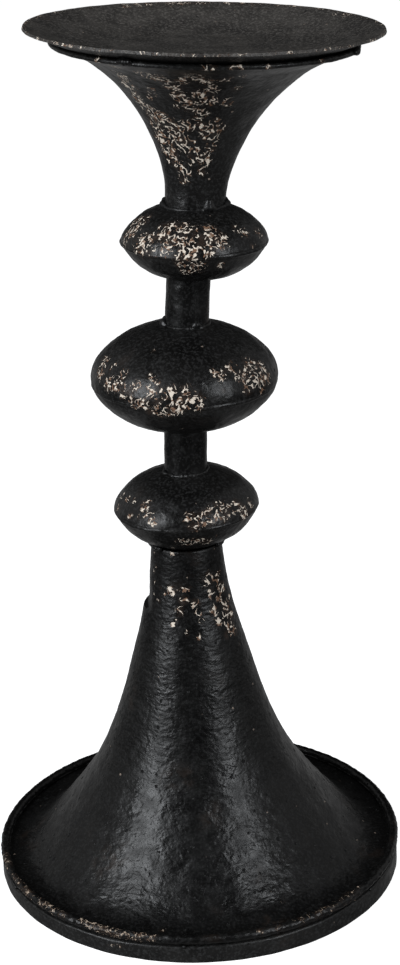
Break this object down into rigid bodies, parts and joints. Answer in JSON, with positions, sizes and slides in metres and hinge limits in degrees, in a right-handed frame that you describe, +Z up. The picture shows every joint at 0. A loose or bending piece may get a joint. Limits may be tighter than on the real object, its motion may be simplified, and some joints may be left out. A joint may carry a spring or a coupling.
{
  "type": "candlestick",
  "caption": "Tall round candlestick of black painted sheet iron with a saucer top, trumpet, bead-like knobs on short necks, and a flared cone base with a rolled rim.",
  "frame": {"origin": "on the floor under the middle of the round base", "axes": "+Z up, +X to the right and +Y to the back as the picture shows the candlestick"},
  "size_m": [0.16, 0.16, 0.3319],
  "materials": {
    "dish_paint": "matt black paint, even, worn at the rim",
    "stem_paint": "semi-matt black paint over hammered sheet, rubbed through to bare copper-coloured metal in patches",
    "weld_paint": "black paint over lumpy weld",
    "base_paint": "satin black paint over hammered sheet, rolled rim rubbed bronze"
  },
  "bodies": {
    "root": {"candle_dish": "dish_paint", "dish_tack_welds": "weld_paint", "trumpet": "stem_paint", "trumpet_foot_weld": "weld_paint", "upper_knob_top_shell": "stem_paint", "upper_knob_bottom_shell": "stem_paint", "upper_knob_seam_weld": "weld_paint", "upper_neck_tube": "stem_paint", "upper_neck_head_weld": "weld_paint", "upper_neck_foot_weld": "weld_paint", "middle_knob_top_shell": "stem_paint", "middle_knob_bottom_shell": "stem_paint", "middle_knob_seam_weld": "weld_paint", "lower_neck_tube": "stem_paint", "lower_neck_head_weld": "weld_paint", "lower_neck_foot_weld": "weld_paint", "lower_knob_top_shell": "stem_paint", "lower_knob_bottom_shell": "stem_paint", "lower_knob_seam_weld": "weld_paint", "base_cone": "base_paint", "cone_head_tack_welds": "weld_paint", "bottom_pan": "base_paint", "bottom_pan_tack_welds": "weld_paint"}
  },
  "joints": []
}
